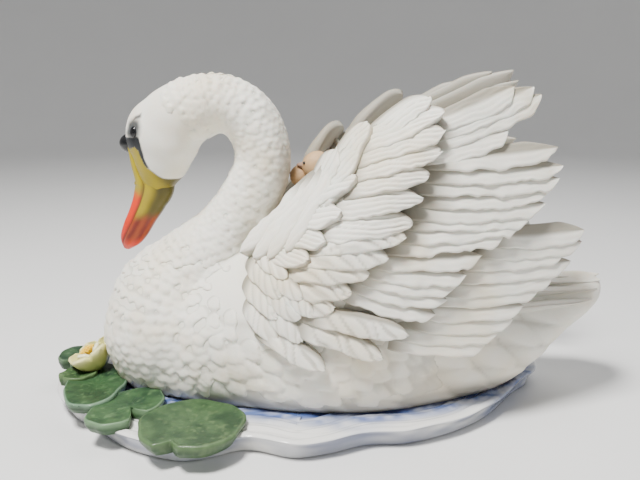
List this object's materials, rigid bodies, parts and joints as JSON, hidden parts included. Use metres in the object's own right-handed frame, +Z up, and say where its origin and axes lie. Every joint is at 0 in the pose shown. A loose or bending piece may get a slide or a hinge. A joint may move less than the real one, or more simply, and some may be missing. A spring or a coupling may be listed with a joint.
{
  "type": "swan figurine",
  "caption": "Porcelain swan with raised layered wings, bowed head and cygnets on its back, on a rippled water plate with lily pads and a water lily.",
  "frame": {"origin": "middle of the figurine's outline in plan, at the plane that it stands on", "axes": "+X towards the tail, +Y towards the swan's right side, +Z up"},
  "size_m": [0.2614, 0.1541, 0.1524],
  "materials": {
    "bisque_porcelain": "matt unglazed white porcelain bisque",
    "glazed_water": "white glaze with a pale blue wash",
    "painted_bill": "painted satin orange and yellow",
    "painted_black": "painted black, slightly glossy",
    "painted_leaf": "painted satin leaf green",
    "painted_petal": "painted satin pale yellow",
    "painted_cygnet": "matt beige tint on bisque"
  },
  "bodies": {
    "root": {"swan_figurine": "bisque_porcelain"}
  },
  "joints": []
}
